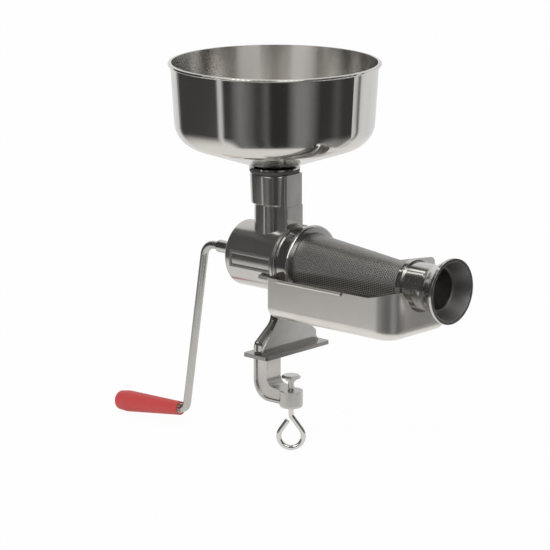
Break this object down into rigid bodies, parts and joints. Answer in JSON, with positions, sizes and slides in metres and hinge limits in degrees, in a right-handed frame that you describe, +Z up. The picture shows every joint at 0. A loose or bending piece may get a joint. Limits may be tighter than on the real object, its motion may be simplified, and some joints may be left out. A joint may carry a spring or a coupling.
{
  "type": "tomato strainer",
  "caption": "Hand cranked tomato strainer with a table clamp, round hopper, auger in a conical screen, flared waste outlet and side juice tray.",
  "frame": {"origin": "on the clamp screw's axis, at the underside of the upper jaw that sits on the table top", "axes": "+X along the barrel axis towards the waste outlet, +Y towards the juice spout, +Z up"},
  "size_m": [0.5157, 0.2805, 0.4562],
  "materials": {
    "cast_aluminium": "polished casting",
    "stainless_bowl": "polished stainless sheet, satin inside",
    "stainless_screen": "perforated stainless sheet",
    "stainless_tray": "polished stainless sheet",
    "bright_steel": "bright turned steel",
    "crank_steel": "satin bent rod",
    "zinc_steel": "zinc plated",
    "red_plastic": "smooth red",
    "nylon": "natural nylon",
    "rubber": "matt black"
  },
  "bodies": {
    "stand": {"body_casting": "cast_aluminium", "shaft_bush": "nylon", "shaft_seal": "rubber", "neck_seal": "rubber", "screen_collar": "bright_steel", "strainer_screen": "stainless_screen", "screen_nose_ring": "bright_steel", "outlet_cone": "bright_steel", "juice_tray": "stainless_tray"},
    "hopper": {"hopper_bowl": "stainless_bowl", "hopper_spout": "bright_steel"},
    "crank": {"auger": "nylon", "auger_shaft": "zinc_steel", "thrust_washer": "nylon", "crank_hub": "zinc_steel", "hub_set_screw": "zinc_steel", "crank_rod": "crank_steel", "grip_stop_ring": "zinc_steel", "grip_push_nut": "zinc_steel"},
    "grip": {"handle_grip": "red_plastic"},
    "clamp_pad": {"clamp_pad": "zinc_steel"},
    "clamp_screw": {"clamp_screw": "zinc_steel"}
  },
  "joints": [
    {"name": "crank_spin", "type": "hinge", "parent": "stand", "child": "crank", "pos_m": [0, 0, 0.108], "axis": [1, 0, 0], "continuous": true},
    {"name": "grip_spin", "type": "hinge", "parent": "crank", "child": "grip", "pos_m": [-0.16651, 0, -0.1003], "axis": [-0.9972, 0, -0.075], "continuous": true},
    {"name": "hopper_lift", "type": "slide", "parent": "stand", "child": "hopper", "axis": [0, 0, 1], "range_m": [0, 0.05]},
    {"name": "clamp_travel", "type": "slide", "parent": "stand", "child": "clamp_pad", "axis": [0, 0, 1], "range_m": [-0.01, 0.0085]},
    {"name": "clamp_turn", "type": "hinge", "parent": "clamp_pad", "child": "clamp_screw", "pos_m": [0, 0, -0.05], "axis": [0, 0, 1], "range_deg": [-2881, 2449]}
  ],
  "couplings": [
    {"joint": "clamp_turn", "follows": "clamp_travel", "rad_per_m": 5026.5}
  ]
}
